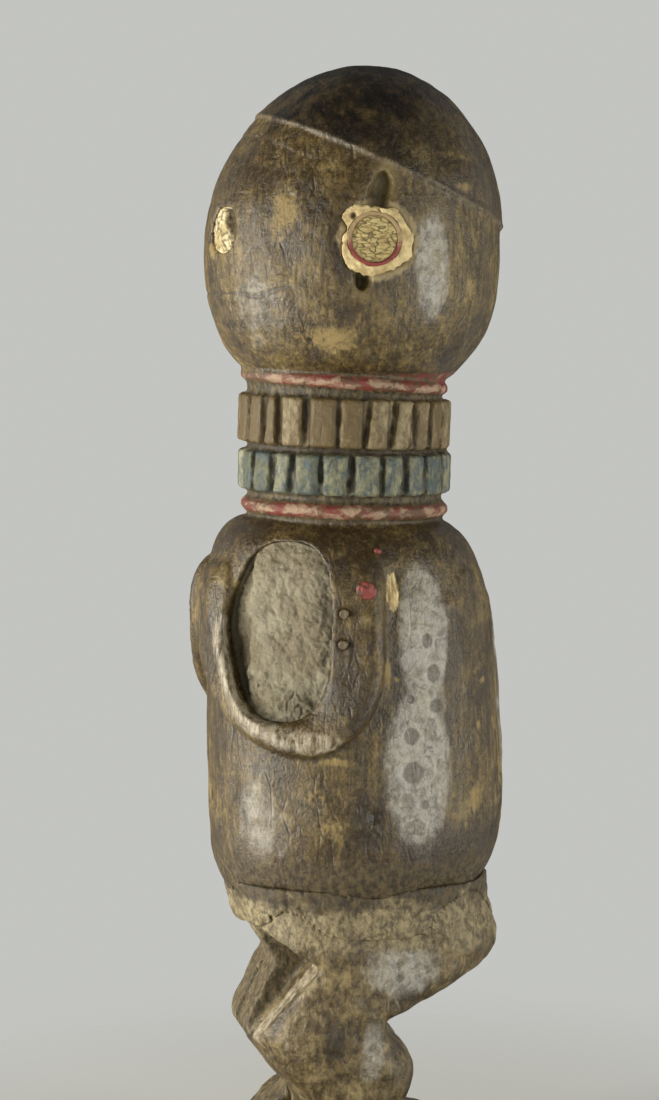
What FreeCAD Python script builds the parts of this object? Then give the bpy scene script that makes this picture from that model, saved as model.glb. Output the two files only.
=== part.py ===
"""Carved wooden doll with inlaid eyes and ears, standing on a round foot.

One block of hardwood is carved into a large egg-shaped head with a cap of hair, a neck dressed with two rows
of square tabs between two ridges, a barrel-shaped body, two arms bent in a U, short flexed legs and a base.
Everything else is a separate piece set into that block: eye plugs, ear putty with its disc and wax ring,
clay in the hollow inside each arm, pegs and wax dabs on an arm, and a resin crust in the waist groove.

Frame: millimetres, +Z up, the doll faces -Y, its left side is +X. The origin is the centre of the underside.
"""

import FreeCAD, Part
import math
import os
import random

V = FreeCAD.Vector
UP = V(0, 0, 1)

# ---- Driving dimensions, in millimetres ----
TOTAL_HEIGHT = 284.3

BASE_RADIUS = 36.0
BASE_RIM_HEIGHT = 15.0
BASE_DOME_RISE = 6.0

HEAD_MIDDLE_Z = 240.0  # height of the head's widest section
HEAD_HALF_DEPTH = 36.7
HEAD_HALF_WIDTH = 34.6
HEAD_BELOW = 38.0  # from the widest section down to where the egg would close
HEAD_LEAN = 0.075  # how far the crown leans back, per millimetre of height
HEAD_LEAN_START_Z = 247.0

CAP_MIDDLE_Z = 261.1  # height of the cap's edge on the head's axis
CAP_SLOPE_DEG = 24.4  # the edge is high on the forehead and low on the nape
CAP_STEP = 0.8  # how far the cap stands proud of the head

NECK_Y = -2.0  # the neck stands a little forward of the body's axis
NECK_RADIUS = 24.2
TAB_RADIUS = 26.6
TAB_GAP = (1.2, 2.6)  # narrowest and widest gap between tabs, at the surface
# Angles of the knife notches on the doll's left; the rest of each row is spaced evenly.
UPPER_NOTCHES = (30.3, 43.4, 60.1, 76.3, 90.6, 105.1, 120.9, 133.3, 145.4)
LOWER_NOTCHES = (21.8, 36.8, 51.2, 67.7, 84.8, 100.9, 114.9, 129.0, 147.1)
UPPER_TABS = 25
LOWER_TABS = 24
RIDGE_RADIUS = 25.9

TORSO_MIDDLE_Z = 104.0
TORSO_ABOVE = 70.0
TORSO_BELOW = 34.0
TORSO_FRONT = 36.6
TORSO_BACK = 37.9
TORSO_HALF_WIDTH = 34.6
TORSO_BACK_TAPER = 0.045  # millimetres inwards for each millimetre up
TORSO_ROUNDNESS = 2.15  # power of the superellipse in plan; 2 is a plain ellipse

HOLLOW_DEPTH = 3.6  # arm hollow, below the body's surface
CLAY_DEPTH = 1.0  # top of the clay, below the body's surface

EYE_ANGLE_DEG = 19.0  # from straight ahead
EYE_Z = 243.8
EYE_RADIUS = 5.9
EAR_ANGLE_DEG = 90.0
EAR_Z = 241.4
EAR_DISC_RADIUS = 5.6
WAX_WIDTH = 0.9
MOUTH_Z = 229.0
MOUTH_HEIGHT = 0.9
MOUTH_DEPTH = 0.8


def superellipse(share, power):
    """Half-width left at a share of the way to the end of a superellipse."""
    return (1 - min(abs(share), 1.0) ** power) ** (1 / power)


def around(angle_deg, radius, z):
    """A point at an angle from straight ahead, turning towards the doll's left."""
    a = math.radians(angle_deg)
    return V(radius * math.sin(a), -radius * math.cos(a), z)


def section(z, front, back, half_width, power=2.0, middle_y=0.0, points=24):
    """A closed horizontal outline with its own depth to the front and to the back."""
    found = []
    for i in range(points):
        t = 2 * math.pi * i / points
        x = math.copysign(abs(math.cos(t)) ** (2 / power), math.cos(t)) * half_width
        depth = back if math.sin(t) > 0 else front
        y = math.copysign(abs(math.sin(t)) ** (2 / power), math.sin(t)) * depth
        found.append(V(x, middle_y + y, z))
    curve = Part.BSplineCurve()
    curve.interpolate(Points=found, PeriodicFlag=True)
    return Part.Wire(curve.toShape())


def head(offset=0.0):
    """The egg of the head. A positive offset makes it larger all over."""
    above = TOTAL_HEIGHT - CAP_STEP - HEAD_MIDDLE_Z
    sections = []
    for lean_deg in (-66, -58, -50, -40, -25, -8, 10, 27, 43, 57, 69, 78, 84, 88):
        share = math.sin(math.radians(lean_deg))
        height = (above if share > 0 else HEAD_BELOW) + offset
        front_power, back_power = (1.95, 2.05) if share > 0 else (2.6, 2.6)
        z = HEAD_MIDDLE_Z + height * share
        middle_y = HEAD_LEAN * max(0.0, z - HEAD_LEAN_START_Z)
        front = (HEAD_HALF_DEPTH + offset) * superellipse(share, front_power)
        back = (HEAD_HALF_DEPTH + offset) * superellipse(share, back_power)
        width = (HEAD_HALF_WIDTH + offset) * superellipse(share, back_power)
        sections.append(section(z, front, back, width, 2.0, middle_y))
    return Part.makeLoft(sections, True, False)


def torso_reach(z, offset=0.0):
    """The body's front, back and side reach at a height. Its back leans forward towards the shoulders."""
    share = (z - TORSO_MIDDLE_Z) / (TORSO_ABOVE if z > TORSO_MIDDLE_Z else TORSO_BELOW)
    if share > 0:
        powers, taper = (8.0, 4.6, 5.5), TORSO_BACK_TAPER * (z - TORSO_MIDDLE_Z)
    else:
        powers, taper = (3.0, 2.5, 2.8), 0.0
    reaches = (TORSO_FRONT, TORSO_BACK - taper, TORSO_HALF_WIDTH)
    return [(reach + offset) * superellipse(share, power) for reach, power in zip(reaches, powers)]


def torso(offset=0.0):
    """The barrel of the body: upright in front, sloping gently at the back."""
    sections = []
    for lean_deg in (-72, -60, -48, -35, -20, 0, 18, 33, 45, 55, 63, 70, 76, 81):
        share = math.sin(math.radians(lean_deg))
        z = TORSO_MIDDLE_Z + (TORSO_ABOVE if share > 0 else TORSO_BELOW) * share
        sections.append(section(z, *torso_reach(z, offset), TORSO_ROUNDNESS))
    return Part.makeLoft(sections, True, False)


def tilted(shape, z, tilt_deg):
    """A neck band at its height, with its front raised by the tilt."""
    shape.rotate(V(0, 0, 0), V(1, 0, 0), -tilt_deg)
    shape.translate(V(0, NECK_Y, z))
    return shape


def revolved(outline):
    """A solid turned about Z from an outline of (radius, z) points."""
    wire = Part.makePolygon([V(r, 0, z) for r, z in [*outline, outline[0]]])
    return Part.Face(wire).revolve(V(0, 0, 0), UP, 360)


def notch_angles(given, count, chance):
    """The given angles, then as many more as the row needs, evenly spaced with a hand's unevenness."""
    more = count - len(given)
    pitch = (360 + given[0] - given[-1]) / (more + 1)
    return [*given, *(given[-1] + pitch * (i + 1 + chance.uniform(-0.12, 0.12)) for i in range(more))]


def tab_row(z, height, tilt_deg, given, count, seed):
    """A band of square tabs, cut apart by knife notches with one steep and one slanting wall."""
    half, inner, bevel = height / 2, NECK_RADIUS - 2, 0.5
    band = revolved(
        [
            (inner, -half),
            (TAB_RADIUS - bevel, -half),
            (TAB_RADIUS, bevel - half),
            (TAB_RADIUS, half - bevel),
            (TAB_RADIUS - bevel, half),
            (inner, half),
        ]
    )
    chance = random.Random(seed)
    notches = []
    for angle in notch_angles(given, count, chance):
        gap = chance.uniform(*TAB_GAP)
        slant = chance.choice((-0.5, 0.5)) * gap
        outer = TAB_RADIUS + 1
        corners = [
            V(slant - 0.3, -NECK_RADIUS - 0.2, 0),
            V(slant + 0.3, -NECK_RADIUS - 0.2, 0),
            V(gap * 0.75, -outer, 0),
            V(-gap * 0.75, -outer, 0),
        ]
        notch = Part.Face(Part.makePolygon([*corners, corners[0]])).extrude(UP * (height + 2))
        notch.translate(V(0, 0, -half - 1))
        notch.rotate(V(0, 0, 0), V(0, 1, 0), chance.uniform(-3, 8))
        notch.rotate(V(0, 0, 0), UP, angle)
        notches.append(notch)
    return tilted(band.cut(notches), z, tilt_deg)


def neck_ridge(z, thickness, tilt_deg):
    """A ridge round the neck with a rounded, slightly peaked edge."""
    half, inner = thickness / 2, NECK_RADIUS - 2
    outline = [
        (inner, -half * 1.9),
        (RIDGE_RADIUS, -half * 0.35),
        (RIDGE_RADIUS, half * 0.35),
        (inner, half * 1.9),
    ]
    return tilted(revolved(outline), z, tilt_deg)


def neck():
    core = Part.makeCylinder(NECK_RADIUS, 42, V(0, NECK_Y, 168))
    return [
        core,
        neck_ridge(206.8, 3.8, 4.6),
        tab_row(197.0, 11.8, 2.2, UPPER_NOTCHES, UPPER_TABS, seed=3),
        tab_row(184.5, 9.8, 1.3, LOWER_NOTCHES, LOWER_TABS, seed=8),
        neck_ridge(175.6, 4.2, 1.9),
    ]


def cap():
    """The hair: the head's crown, a little larger, above a sloping plane."""
    block = Part.makeBox(120, 120, 60, V(-60, -60, 0))
    block.rotate(V(0, 0, 0), V(1, 0, 0), -CAP_SLOPE_DEG)
    block.translate(V(0, 0, CAP_MIDDLE_Z))
    return head(CAP_STEP).common(block)


# Each row: angle from straight ahead, height, how far the arm stands out of the body, its width, and
# where its flat crest starts and ends between the inner (-1) and outer (1) edge of the U.
ARM_PATH = (
    (80.0, 169.0, -2.0, 11.0, 0.1, 0.5),
    (80.5, 163.0, 0.8, 13.5, 0.2, 0.6),
    (81.0, 155.0, 1.9, 14.0, 0.3, 0.7),
    (81.5, 145.0, 2.4, 14.2, 0.4, 0.75),
    (81.0, 135.0, 2.9, 13.4, 0.4, 0.75),
    (74.5, 126.3, 3.3, 11.5, 0.3, 0.7),
    (61.0, 121.6, 3.5, 9.4, 0.15, 0.6),
    (47.0, 123.6, 3.7, 9.8, -0.1, 0.55),
    (33.5, 129.3, 3.8, 12.0, -0.3, 0.6),
    (22.5, 138.5, 3.9, 14.5, -0.42, 0.7),
    (15.5, 149.5, 3.9, 16.4, -0.45, 0.8),
    (14.0, 157.0, 3.6, 16.4, -0.45, 0.8),
    (13.5, 161.0, 2.2, 14.5, -0.4, 0.7),
    (13.5, 163.4, -0.8, 11.0, -0.4, 0.6),
)
ARM_ROOT = 4.5  # how far the arm's inner side lies inside the body


def body_surface(angle_deg, z):
    """The body's radius at an angle from straight ahead and a height."""
    a = math.radians(angle_deg)
    front, back, side = torso_reach(z)
    across = abs(math.sin(a)) / side
    along = abs(math.cos(a)) / (front if angle_deg < 90 else back)
    return (across**TORSO_ROUNDNESS + along**TORSO_ROUNDNESS) ** (-1 / TORSO_ROUNDNESS)


def arm(side):
    """One arm as a tapering band that follows the body from the shoulder round the elbow to the hand."""
    middles = [around(row[0], body_surface(row[0], row[1]), row[1]) for row in ARM_PATH]
    sections = []
    for i, (angle, _, proud, width, crest_in, crest_out) in enumerate(ARM_PATH):
        ahead = middles[min(i + 1, len(middles) - 1)] - middles[max(i - 1, 0)]
        out = around(angle, 1, 0)
        across = out.cross(ahead.normalize()).normalize()
        half = width / 2
        outline = [
            (-half, -ARM_ROOT),
            (half, -ARM_ROOT),
            (half - 0.4, proud * 0.55),
            (half * crest_out, proud),
            (half * crest_in, proud),
            (0.6 - half, proud * 0.25),
        ]
        corners = [middles[i] + across * a + out * o for a, o in outline]
        sections.append(Part.makePolygon([*corners, corners[0]]))
    return mirrored(Part.makeLoft(sections, True, False), side)


def mirrored(shape, side):
    """The shape as made for the doll's left, side +1, or its mirror image for the right, side -1."""
    return shape if side > 0 else shape.mirror(V(0, 0, 0), V(1, 0, 0))


def facing(angle_deg, z, outline, near, far):
    """A prism along the direction angle_deg at height z, from radius near to radius far.
    The outline is a list of (across, up) points, joined by a closed smooth curve."""
    out = around(angle_deg, 1, 0)
    across = UP.cross(out)
    points = [out * near + across * a + UP * (z + u) for a, u in outline]
    curve = Part.BSplineCurve()
    curve.interpolate(Points=points, PeriodicFlag=True)
    return Part.Face(Part.Wire(curve.toShape())).extrude(out * (far - near))


def rounded_outline(half_width, half_height, power=2.0, points=20, wobble=0.0, seed=0, lean=0.0):
    """A superellipse as (across, up) points. Wobble makes it uneven, as a hand leaves it."""
    chance = random.Random(seed)
    found = []
    for i in range(points):
        t = 2 * math.pi * i / points
        size = 1 + chance.uniform(-wobble, wobble)
        a = math.copysign(abs(math.cos(t)) ** (2 / power), math.cos(t)) * half_width * size
        u = math.copysign(abs(math.sin(t)) ** (2 / power), math.sin(t)) * half_height * size
        found.append((a + lean * u, u))
    return found


HOLLOW_ANGLE_DEG = 49.5
HOLLOW_Z = 147.0


def arm_hollow(near=20.0, far=60.0):
    """The space inside the U of the left arm, before it is cut to a depth."""
    outline = rounded_outline(13.4, 21.8, 2.5)
    # the wall next to the forearm is cut back to the arm's crest
    outline = [(a - 2.5 * math.exp(-(((u - 1) / 9) ** 2)) if a < 0 else a, u) for a, u in outline]
    return facing(HOLLOW_ANGLE_DEG, HOLLOW_Z, outline, near, far)


def arm_clay(side):
    """Packed clay that fills the hollow to just under the body's surface."""
    layer = torso(-CLAY_DEPTH).cut(torso(-HOLLOW_DEPTH))
    return mirrored(arm_hollow().common(layer), side)


EYE_FLOOR = 31.5  # distance of the socket's floor from the head's axis


def eye_outline(grow=0.0):
    return rounded_outline(EYE_RADIUS + grow, EYE_RADIUS - 0.2 + grow, 2.2, 16, 0.03, 5)


def eye_socket(side):
    return mirrored(facing(EYE_ANGLE_DEG, EYE_Z, eye_outline(), EYE_FLOOR, 60), side)


def eye_plug(side):
    """A plug of pale putty, a little below the face."""
    plug = facing(EYE_ANGLE_DEG, EYE_Z, eye_outline(), EYE_FLOOR, 60)
    return mirrored(plug.common(head(-0.4)), side)


EAR_FLOOR = 32.4  # distance of the putty's floor from the head's axis
EAR_SLOT_FLOOR = 29.3


def ear_putty_outline():
    """A hand-pressed patch: squarish in front, drawn to a blunt point behind."""
    return [
        (-8.6, 5.6),
        (-6.6, 7.4),
        (-1.9, 7.6),
        (1.8, 7.3),
        (3.9, 7.2),
        (6.2, 4.6),
        (8.3, 0.6),
        (8.3, -2.8),
        (6.2, -5.6),
        (0.6, -8.0),
        (-3.4, -8.4),
        (-6.6, -7.2),
        (-8.6, -4.4),
        (-8.3, 0.2),
        (-7.6, 3.0),
    ]


def ear_seat():
    return facing(EAR_ANGLE_DEG, EAR_Z, ear_putty_outline(), EAR_FLOOR, 60)


def ear_slot():
    """The carved ear: a leaning scoop, wider at its upper end, which shows above and below the putty."""
    outline = [
        (-5.8, -8.5),
        (-5.7, -11.4),
        (-3.7, -13.2),
        (-1.7, -11.6),
        (-1.6, -8.0),
        (0.8, 0.0),
        (2.9, 9.0),
        (4.5, 13.6),
        (2.8, 16.9),
        (-0.2, 16.4),
        (-2.3, 11.9),
        (-3.0, 7.0),
        (-4.4, 0.0),
    ]
    out = around(EAR_ANGLE_DEG, 1, 0)
    across = UP.cross(out)
    rings = []
    for reach, size in ((EAR_SLOT_FLOOR, 0.45), (EAR_SLOT_FLOOR + 6, 1.35)):
        ring = []
        for a, u in outline:
            middle = 0.2 * u - 1.7
            ring.append(out * reach + across * (middle + (a - middle) * size) + UP * (EAR_Z + 0.96 * u))
        rings.append(Part.makePolygon([*ring, ring[0]]))
    return Part.makeLoft(rings, True, True)


def ear_disc_outline(grow=0.0):
    radius = EAR_DISC_RADIUS + grow
    return [(a - 0.9, u + 0.1) for a, u in rounded_outline(radius, radius)]


def ear_pieces(side):
    """Putty, wax ring and disc of one ear, each cut out of the one around it."""
    disc_floor = EAR_FLOOR + 1.1
    disc_room = facing(EAR_ANGLE_DEG, EAR_Z, ear_disc_outline(WAX_WIDTH), disc_floor, 60)
    disc = facing(EAR_ANGLE_DEG, EAR_Z, ear_disc_outline(), disc_floor, 60)
    putty = ear_seat().common(head(0.35)).cut(disc_room)
    wax = disc_room.common(head(0.6)).cut(disc)
    return [mirrored(piece, side) for piece in (putty, wax, disc.common(head(0.1)))]


def mouth():
    """A shallow knife line across the lower face, from cheek to cheek."""
    line = Part.makeBox(56, 30, MOUTH_HEIGHT, V(-28, -51, MOUTH_Z - MOUTH_HEIGHT / 2))
    return line.cut(head(-MOUTH_DEPTH))


# Outline of hips, thighs, knees and shins: height, reach to the front, to the back and to each side.
# The knees come furthest forward at 46.6, the backs of the knees lie at 48.5, the calves bulge at 34.
LEG_ROWS = (
    (10.0, 17.2, 11.5, 26.5),
    (23.0, 17.2, 11.4, 26.2),
    (28.7, 17.6, 12.0, 26.8),
    (34.0, 21.8, 13.5, 27.8),
    (37.5, 24.6, 13.3, 28.4),
    (42.5, 27.9, 9.9, 29.0),
    (46.6, 30.0, 6.3, 29.4),
    (48.6, 29.5, 5.5, 29.4),
    (51.5, 28.2, 11.0, 29.4),
    (55.5, 26.3, 19.8, 29.6),
    (60.0, 23.9, 28.2, 30.0),
    (63.5, 22.5, 32.4, 30.3),
    (66.5, 24.4, 34.6, 30.3),
    (70.0, 26.3, 35.1, 30.1),
    (74.0, 27.4, 33.6, 29.6),
    (78.5, 28.3, 31.6, 28.8),
    (84.0, 29.0, 30.5, 28.0),
)
LEG_ROUNDNESS = 3.4

GROIN = (-13.2, 64.0)  # bottom of the notch between belly and thigh
GROIN_UPPER_SLOPE = 0.65
GROIN_LOWER_SLOPE = 1.25
WEB_HALF_WIDTH = 13.0  # the wood left between the two groin notches
SHIN_GAP = 7.0
SHIN_GAP_TOP = 43.0


def groin_notch():
    """The wedge cut away above the left thigh, from the outside in."""
    y, z = GROIN
    reach = 32
    upper = V(0, y - reach, z + reach * GROIN_UPPER_SLOPE)
    lower = V(0, y - reach, z - reach * GROIN_LOWER_SLOPE)
    corners = [V(0, y, z), upper, lower]
    wedge = Part.Face(Part.makePolygon([*corners, corners[0]])).extrude(V(30, 0, 0))
    wedge.translate(V(WEB_HALF_WIDTH, 0, 0))
    return wedge


def upright_groove(corners, low, high):
    """A knife groove along the middle, from its outline seen from above."""
    points = [V(x, y, low) for x, y in corners]
    return Part.Face(Part.makePolygon([*points, points[0]])).extrude(UP * (high - low))


def legs():
    """Hips, thighs, knees and calves in one zigzag, with the shins carved free of each other."""
    sections = [section(z, f, b, w, LEG_ROUNDNESS, 0.0, 32) for z, f, b, w in LEG_ROWS]
    block = Part.makeLoft(sections, True, False)
    gap = Part.makeBox(SHIN_GAP, 90, SHIN_GAP_TOP - 19, V(-SHIN_GAP / 2, -45, 19))
    arch = Part.makeCylinder(SHIN_GAP / 2, 90, V(0, -45, SHIN_GAP_TOP), V(0, 1, 0))
    between_thighs = upright_groove([(0, -17.5), (3.2, -34), (-3.2, -34)], 40, 60)
    between_buttocks = upright_groove([(0, 29), (2.6, 38), (-2.6, 38)], 52, 71)
    notches = [mirrored(groin_notch(), side) for side in (1, -1)]
    return block.cut([*notches, gap, arch, between_thighs, between_buttocks])


# Side outline of a foot as (y, z), from under the toes over the instep to the heel.
FOOT_OUTLINE = (
    (-29.5, 12.0),
    (-29.5, 15.5),
    (-25.5, 17.4),
    (-17.0, 24.5),
    (0.0, 29.0),
    (12.0, 24.0),
    (12.5, 12.0),
)


def feet():
    """Two plain wedge feet, high at the instep and low at the toes."""
    corners = [V(0, y, z) for y, z in FOOT_OUTLINE]
    wedge = Part.Face(Part.makePolygon([*corners, corners[0]])).extrude(V(20, 0, 0))
    wedge.translate(V(SHIN_GAP / 2, 0, 0))
    toes = Part.makeLoft([section(z, 33.0, 16.0, 24.5, 2.6) for z in (10.0, 34.0)], True, True)
    left = wedge.common(toes)
    return [left, mirrored(left, -1)]


def base():
    """A round foot with a low domed top."""
    outline = [
        (0, 0),
        (BASE_RADIUS - 1.5, 0),
        (BASE_RADIUS, 1.5),
        (BASE_RADIUS, BASE_RIM_HEIGHT - 2),
        (BASE_RADIUS - 1.8, BASE_RIM_HEIGHT),
        (BASE_RADIUS * 0.55, BASE_RIM_HEIGHT + BASE_DOME_RISE * 0.7),
        (0, BASE_RIM_HEIGHT + BASE_DOME_RISE),
    ]
    return revolved(outline)


def waist_crust(wood):
    """Resin and offerings built up in the waist groove, all round."""
    rows = (
        (83.0, 32.6, 33.6, 30.8),
        (80.0, 31.8, 33.2, 30.4),
        (77.0, 30.9, 33.6, 30.4),
        (74.0, 29.6, 34.6, 30.7),
        (71.5, 26.2, 34.8, 30.4),
    )
    ring = Part.makeLoft([section(z, f, b, w, 2.6) for z, f, b, w in rows], True, False)
    return biggest(ring.cut(wood))


PEG_RADIUS = 1.15
PEG_SPOTS = ((76.6, 152.3), (76.4, 144.8))  # angle and height, on the left upper arm
PEG_FLOOR = 33.0


def peg_rod(angle_deg, z, end):
    return Part.makeCylinder(
        PEG_RADIUS, end - PEG_FLOOR, around(angle_deg, PEG_FLOOR, z), around(angle_deg, 1, 0)
    )


# Each row: angle, height, half-width, half-height and distance of the middle from the body's axis.
WAX_DABS = ((85.2, 157.7, 2.7, 2.3, 35.4), (91.6, 166.8, 1.3, 0.9, 30.4))


def wax_dab(angle_deg, z, half_width, half_height, reach):
    """A flattened drop of wax pressed on the wood."""
    stretch = FreeCAD.Matrix()
    stretch.scale(V(1.1, half_width, half_height))
    drop = Part.makeSphere(1.0).transformGeometry(stretch)
    drop.rotate(V(0, 0, 0), UP, angle_deg - 90)
    drop.translate(around(angle_deg, reach, z))
    return drop


def biggest(shape):
    """The largest solid of a shape, without slivers."""
    return max(shape.Solids, key=lambda solid: solid.Volume)


def carving():
    """The whole block of wood as one solid, with every socket cut."""
    solid = torso().fuse([arm(1), arm(-1)])
    solid = solid.fuse(legs())
    solid = solid.fuse([base(), *feet()])
    solid = solid.fuse(neck())
    solid = solid.fuse([head(), cap()])
    floor = torso(-HOLLOW_DEPTH)
    cutters = [eye_socket(1), eye_socket(-1), mouth()]
    for side in (1, -1):
        cutters.append(mirrored(arm_hollow().cut(floor), side))
        cutters.append(mirrored(ear_slot(), side))
        cutters.append(mirrored(ear_seat(), side))
    cutters += [peg_rod(angle, z, 60) for angle, z in PEG_SPOTS]
    for cutter in cutters:
        solid = solid.cut(cutter)
    return biggest(solid)


def all_pieces():
    """Every piece by the name of its node."""
    wood = carving()
    pieces = {"carved_figure": wood}
    for name, side in (("left", 1), ("right", -1)):
        putty, wax, disc = ear_pieces(side)
        pieces[name + "_eye_plug"] = eye_plug(side)
        pieces[name + "_ear_putty"] = biggest(putty)
        pieces[name + "_ear_wax_ring"] = biggest(wax)
        pieces[name + "_ear_disc"] = biggest(disc)
        pieces[name + "_arm_clay"] = biggest(arm_clay(side))
    pegs = [peg_rod(angle, z, 37.6) for angle, z in PEG_SPOTS]
    pieces["left_arm_pegs"] = Part.makeCompound(pegs)
    dabs = [biggest(wax_dab(*row).cut(wood)) for row in WAX_DABS]
    pieces["left_arm_wax_dabs"] = Part.makeCompound(dabs)
    pieces["waist_crust"] = waist_crust(wood)
    return pieces


def main():
    os.makedirs("parts", exist_ok=True)
    for name, shape in all_pieces().items():
        shape.exportStep(f"parts/{name}.step")
        solids = shape.Solids
        print(name, len(solids), "solid", shape.isValid(), f"{sum(s.Volume for s in solids) / 1000:.3f} cm3")


main()
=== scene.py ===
"""Looks of the carved fertility doll: worn, polished wood with inlays, clay, wax and a resin crust.

Lengths are millimetres unless a comment says metres; meshes are written in metres. Angles round the
figure are degrees from straight ahead (-Y), turning towards the doll's own left (+X).
"""

import math

import bpy
import numpy as np
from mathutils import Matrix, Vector, kdtree, noise


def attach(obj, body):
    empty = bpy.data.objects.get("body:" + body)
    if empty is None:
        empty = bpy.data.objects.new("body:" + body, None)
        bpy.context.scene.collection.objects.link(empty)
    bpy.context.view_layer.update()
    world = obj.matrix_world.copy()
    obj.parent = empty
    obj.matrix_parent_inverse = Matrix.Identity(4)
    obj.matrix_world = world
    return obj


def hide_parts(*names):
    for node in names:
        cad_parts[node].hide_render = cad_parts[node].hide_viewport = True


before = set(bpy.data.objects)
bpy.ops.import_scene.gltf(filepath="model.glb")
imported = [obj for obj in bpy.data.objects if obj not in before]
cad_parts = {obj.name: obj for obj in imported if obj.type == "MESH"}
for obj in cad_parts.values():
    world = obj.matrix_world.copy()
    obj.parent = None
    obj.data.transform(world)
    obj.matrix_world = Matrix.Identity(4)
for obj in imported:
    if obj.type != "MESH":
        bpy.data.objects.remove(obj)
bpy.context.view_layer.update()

MM = 0.001

# ---- The figure's own measures ----
CAP_Z, CAP_SLOPE = 261.1, 0.453  # the cap's edge: z = CAP_Z - CAP_SLOPE * y
EAR_Z = 241.4
MOUTH_Z = 229.0
HEAD_FROM, HEAD_FULL = 211, 216  # the heights between which masks for the head fade in

# ---- The collar: two rows of tabs between two ridges, lower at the back by COLLAR_TILT degrees ----
NECK_Y = -2.0
COLLAR_TILT = 2.2
TOP_RIDGE_SLOPE, LOW_RIDGE_SLOPE = 0.0805, 0.033  # fall of each ridge's edge towards the back
TAB_RADIUS = 26.6
UPPER_ROW = (190.4, 203.2)  # the lowest and highest level of each row's notches
LOWER_ROW = (179.2, 189.6)
UPPER_COUNT, LOWER_COUNT = 25, 24
# angles of the notches that show in the photograph
UPPER_TABS = (30.3, 43.4, 60.1, 76.3, 90.6, 105.1, 120.9, 133.3, 145.4)
LOWER_TABS = (21.8, 36.8, 51.2, 67.7, 84.8, 100.9, 114.9, 129.0, 147.1)
# how worn and pale the tab at an angle is, as (angle, tone)
UPPER_TONES = (
    (8, -0.4), (22, -0.1), (37, 0.1), (52, 0.5), (68, -0.05), (83, 0.2), (98, 0.45), (113, 0.6),
    (127, 0.35), (139, 0.2),
)  # fmt: skip
LOWER_TONES = (
    (8, -0.4), (14, -0.3), (29, 0.0), (44, 0.45), (59, 0.2), (76, 0.35), (93, 0.45), (108, 0.45),
    (122, 0.4), (138, 0.3),
)  # fmt: skip


# ---------------------------------------------------------------- camera, light and floor

PHOTO_HEIGHT = 1100
CAMERA_AZIMUTH = 80.0
CAMERA_DISTANCE = 725.0
CAMERA_Z = 231.75
FOCAL_PX = 2900.0
PITCH_DEG = 5.319
SIDEWAYS = -5.625  # camera moved along its own right, so the doll stands right of the middle
AIM_Z_M = 0.14  # the height that the lights face, in metres


def direction(azimuth_deg, elevation_deg=0.0):
    a, e = math.radians(azimuth_deg), math.radians(elevation_deg)
    return Vector((math.sin(a) * math.cos(e), -math.cos(a) * math.cos(e), math.sin(e)))


def add_object(name, data):
    piece = bpy.data.objects.new(name, data)
    bpy.context.scene.collection.objects.link(piece)
    return piece


def add_camera():
    data = bpy.data.cameras.new("camera")
    data.sensor_fit = "VERTICAL"
    data.sensor_height = 36.0
    data.lens = data.sensor_height * FOCAL_PX / PHOTO_HEIGHT
    data.clip_start = 0.01
    camera = add_object("camera", data)
    toward = direction(CAMERA_AZIMUTH)
    right = Vector((math.cos(math.radians(CAMERA_AZIMUTH)), math.sin(math.radians(CAMERA_AZIMUTH)), 0))
    camera.location = (toward * CAMERA_DISTANCE + right * SIDEWAYS + Vector((0, 0, CAMERA_Z))) * MM
    look = -toward * math.cos(math.radians(PITCH_DEG)) - Vector((0, 0, math.sin(math.radians(PITCH_DEG))))
    camera.rotation_euler = look.to_track_quat("-Z", "Y").to_euler()
    bpy.context.scene.camera = camera


def add_softbox(name, azimuth, distance, centre_z, width, height, radiance, colour):
    """A rectangular area light facing the figure's axis. Sizes, distance and height are in metres."""
    data = bpy.data.lights.new(name, "AREA")
    data.shape = "RECTANGLE"
    data.size, data.size_y = width, height
    data.energy = radiance * math.pi * width * height
    data.color = colour
    light = add_object(name, data)
    light.location = direction(azimuth) * distance + Vector((0, 0, centre_z))
    aim = Vector((0, 0, AIM_Z_M)) - light.location
    light.rotation_euler = aim.to_track_quat("-Z", "Y").to_euler()


def add_world():
    world = bpy.data.worlds.new("pale_studio")
    world.use_nodes = True
    nodes, links = world.node_tree.nodes, world.node_tree.links
    sky = nodes.new("ShaderNodeTexCoord")
    height = nodes.new("ShaderNodeSeparateXYZ")
    links.new(sky.outputs["Generated"], height.inputs[0])
    ramp = nodes.new("ShaderNodeValToRGB")
    pale, ceiling = ramp.color_ramp.elements
    pale.position, pale.color = 0.25, (0.548, 0.556, 0.535, 1)
    ceiling.position, ceiling.color = 0.75, (0.10, 0.10, 0.10, 1)
    links.new(height.outputs["Z"], ramp.inputs[0])
    links.new(ramp.outputs[0], nodes["Background"].inputs["Color"])
    bpy.context.scene.world = world


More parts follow.
